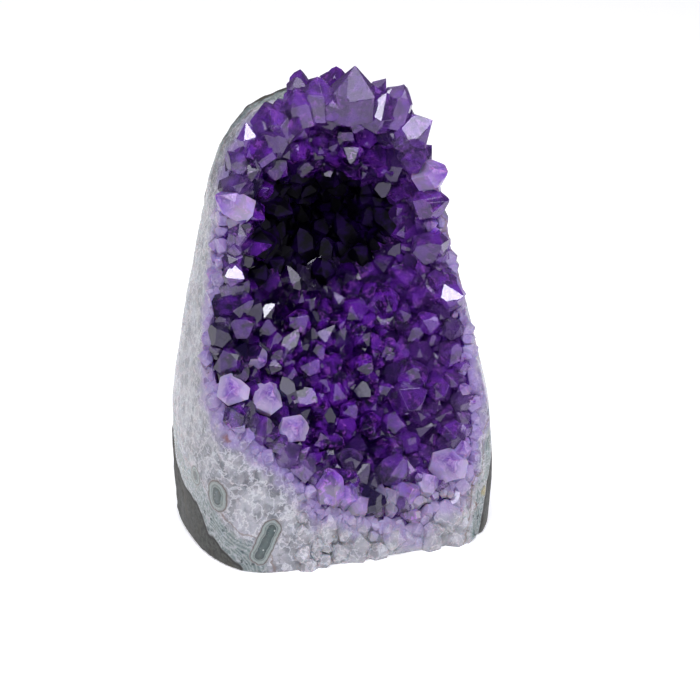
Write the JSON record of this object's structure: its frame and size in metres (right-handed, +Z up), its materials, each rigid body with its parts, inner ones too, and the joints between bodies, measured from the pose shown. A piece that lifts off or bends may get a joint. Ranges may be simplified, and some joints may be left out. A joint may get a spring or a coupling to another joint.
{
  "type": "amethyst geode",
  "caption": "Upright cut-base geode with ground sides, banded quartz wall and an open hollow lined with pointed purple crystals.",
  "frame": {"origin": "centre of the object's bounding rectangle on the flat cut base, at the surface it stands on", "axes": "+Z up along the geode's height; the open crystal face looks along -Y; +X is to the right of that face"},
  "size_m": [0.1104, 0.0876, 0.1684],
  "materials": {
    "basalt": "ground smooth, satin",
    "agate": "polished",
    "quartz": "polished, crystalline",
    "amethyst_bed": "glassy",
    "amethyst_crystal": "glassy"
  },
  "bodies": {
    "root": {"agate_band": "agate", "amethyst_bed": "amethyst_bed", "basalt_rind": "basalt", "crystal_01": "amethyst_crystal", "crystal_02": "amethyst_crystal", "crystal_03": "amethyst_crystal", "crystal_04": "amethyst_crystal", "crystal_05": "amethyst_crystal", "crystal_06": "amethyst_crystal", "crystal_07": "amethyst_crystal", "crystal_08": "amethyst_crystal", "crystal_09": "amethyst_crystal", "crystal_10": "amethyst_crystal", "crystal_11": "amethyst_crystal", "crystal_12": "amethyst_crystal", "crystal_13": "amethyst_crystal", "crystal_14": "amethyst_crystal", "crystal_15": "amethyst_crystal", "crystal_16": "amethyst_crystal", "crystal_17": "amethyst_crystal", "crystal_18": "amethyst_crystal", "crystal_19": "amethyst_crystal", "crystal_20": "amethyst_crystal", "crystal_21": "amethyst_crystal", "crystal_22": "amethyst_crystal", "crystal_23": "amethyst_crystal", "crystal_24": "amethyst_crystal", "crystal_25": "amethyst_crystal", "crystal_26": "amethyst_crystal", "crystal_27": "amethyst_crystal", "crystal_28": "amethyst_crystal", "crystal_29": "amethyst_crystal", "crystal_30": "amethyst_crystal", "crystal_31": "amethyst_crystal", "crystal_32": "amethyst_crystal", "crystal_33": "amethyst_crystal", "crystal_34": "amethyst_crystal", "crystal_35": "amethyst_crystal", "crystal_36": "amethyst_crystal", "crystal_37": "amethyst_crystal", "crystal_38": "amethyst_crystal", "crystal_bright": "amethyst_crystal", "crystal_lower_right": "amethyst_crystal", "crystal_middle": "amethyst_crystal", "crystal_pale_left": "amethyst_crystal", "crystal_pale_low": "amethyst_crystal", "crystal_pale_middle": "amethyst_crystal", "crystal_peak": "amethyst_crystal", "crystal_peak_behind": "amethyst_crystal", "crystal_peak_left": "amethyst_crystal", "crystal_peak_outer": "amethyst_crystal", "crystal_peak_right": "amethyst_crystal", "crystal_rim_hexagon": "amethyst_crystal", "crystal_rim_high": "amethyst_crystal", "crystal_rim_low": "amethyst_crystal", "crystal_rim_pale": "amethyst_crystal", "crystal_shoulder_far": "amethyst_crystal", "crystal_shoulder_left": "amethyst_crystal", "crystal_shoulder_right": "amethyst_crystal", "quartz_wall": "quartz"}
  },
  "joints": []
}
